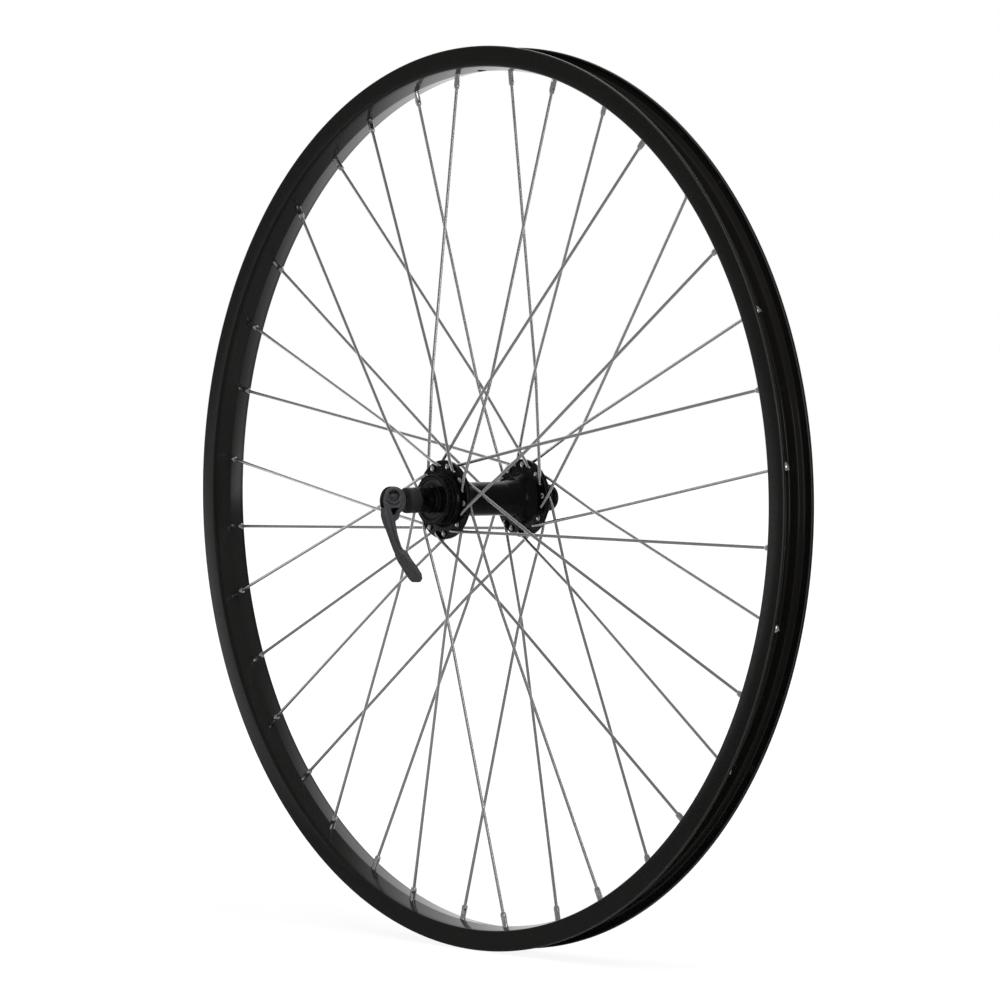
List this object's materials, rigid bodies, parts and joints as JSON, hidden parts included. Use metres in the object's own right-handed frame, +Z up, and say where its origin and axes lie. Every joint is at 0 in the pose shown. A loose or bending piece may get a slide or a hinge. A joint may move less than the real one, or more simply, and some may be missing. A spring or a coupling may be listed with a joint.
{
  "type": "bicycle front wheel",
  "caption": "Spoked bicycle front wheel without a tyre: black rim, cross-laced steel spokes, flanged hub on cup-and-cone bearings and a quick-release skewer with its lever.",
  "frame": {"origin": "the wheel's centre, on the axle's axis and midway between the outer faces of the two locknuts", "axes": "+Y along the axle, away from the lever; +Z up, with the lever hanging down; +X across the wheel"},
  "size_m": [0.5714, 0.1415, 0.5714],
  "materials": {
    "rim_black": "satin black anodised",
    "hub_black": "gloss black",
    "lever_black": "satin black",
    "spoke_steel": "bright drawn wire",
    "bearing_steel": "polished",
    "dark_steel": "blackened"
  },
  "bodies": {
    "axle": {"axle": "dark_steel", "left_cone": "bearing_steel", "right_cone": "bearing_steel", "left_lock_washer": "dark_steel", "right_lock_washer": "dark_steel", "left_locknut": "dark_steel", "right_locknut": "dark_steel"},
    "wheel": {"rim": "rim_black", "hub_shell": "hub_black", "left_bearing_cup": "bearing_steel", "right_bearing_cup": "bearing_steel", "left_dust_cap": "hub_black", "right_dust_cap": "hub_black", "spoke_right_in_1": "spoke_steel", "spoke_right_in_2": "spoke_steel", "spoke_right_in_3": "spoke_steel", "spoke_right_in_4": "spoke_steel", "spoke_right_in_5": "spoke_steel", "spoke_right_in_6": "spoke_steel", "spoke_right_in_7": "spoke_steel", "spoke_right_in_8": "spoke_steel", "spoke_right_in_9": "spoke_steel", "spoke_left_out_1": "spoke_steel", "spoke_left_out_2": "spoke_steel", "spoke_left_out_3": "spoke_steel", "spoke_left_out_4": "spoke_steel", "spoke_left_out_5": "spoke_steel", "spoke_left_out_6": "spoke_steel", "spoke_left_out_7": "spoke_steel", "spoke_left_out_8": "spoke_steel", "spoke_left_out_9": "spoke_steel", "spoke_right_out_1": "spoke_steel", "spoke_right_out_2": "spoke_steel", "spoke_right_out_3": "spoke_steel", "spoke_right_out_4": "spoke_steel", "spoke_right_out_5": "spoke_steel", "spoke_right_out_6": "spoke_steel", "spoke_right_out_7": "spoke_steel", "spoke_right_out_8": "spoke_steel", "spoke_right_out_9": "spoke_steel", "spoke_left_in_1": "spoke_steel", "spoke_left_in_2": "spoke_steel", "spoke_left_in_3": "spoke_steel", "spoke_left_in_4": "spoke_steel", "spoke_left_in_5": "spoke_steel", "spoke_left_in_6": "spoke_steel", "spoke_left_in_7": "spoke_steel", "spoke_left_in_8": "spoke_steel", "spoke_left_in_9": "spoke_steel"},
    "left_bearing": {"left_ball_ring": "bearing_steel"},
    "right_bearing": {"right_ball_ring": "bearing_steel"},
    "skewer": {"skewer_rod": "spoke_steel"},
    "lever": {"lever": "lever_black", "pivot_pin": "bearing_steel"},
    "cam_housing": {"cam_housing": "lever_black", "left_clamp_ring": "dark_steel", "left_spring": "bearing_steel"},
    "nut": {"adjusting_nut": "lever_black", "right_clamp_ring": "dark_steel", "right_spring": "bearing_steel"}
  },
  "joints": [
    {"name": "wheel_spin", "type": "hinge", "parent": "axle", "child": "wheel", "pos_m": [0, 0, 0], "axis": [0, 1, 0], "continuous": true},
    {"name": "left_bearing_roll", "type": "hinge", "parent": "axle", "child": "left_bearing", "pos_m": [0, 0, 0], "axis": [0, 1, 0], "continuous": true},
    {"name": "right_bearing_roll", "type": "hinge", "parent": "axle", "child": "right_bearing", "pos_m": [0, 0, 0], "axis": [0, 1, 0], "continuous": true},
    {"name": "skewer_turn", "type": "hinge", "parent": "axle", "child": "skewer", "pos_m": [0, 0, 0], "axis": [0, 1, 0], "continuous": true},
    {"name": "lever_pivot", "type": "hinge", "parent": "skewer", "child": "lever", "pos_m": [0, -0.075, 0], "axis": [-1, 0, 0], "range_deg": [0, 180]},
    {"name": "cam_travel", "type": "slide", "parent": "skewer", "child": "cam_housing", "axis": [0, -1, 0], "range_m": [0, 0.0022], "deforming": ["left_spring"]},
    {"name": "nut_turn", "type": "hinge", "parent": "skewer", "child": "nut", "pos_m": [0, 0.0541, 0], "axis": [0, 1, 0], "continuous": true}
  ],
  "couplings": [
    {"joint": "left_bearing_roll", "follows": "wheel_spin", "ratio": 0.58},
    {"joint": "right_bearing_roll", "follows": "wheel_spin", "ratio": 0.58},
    {"joint": "cam_travel", "follows": "lever_pivot", "m_per_rad": 0.0007}
  ]
}
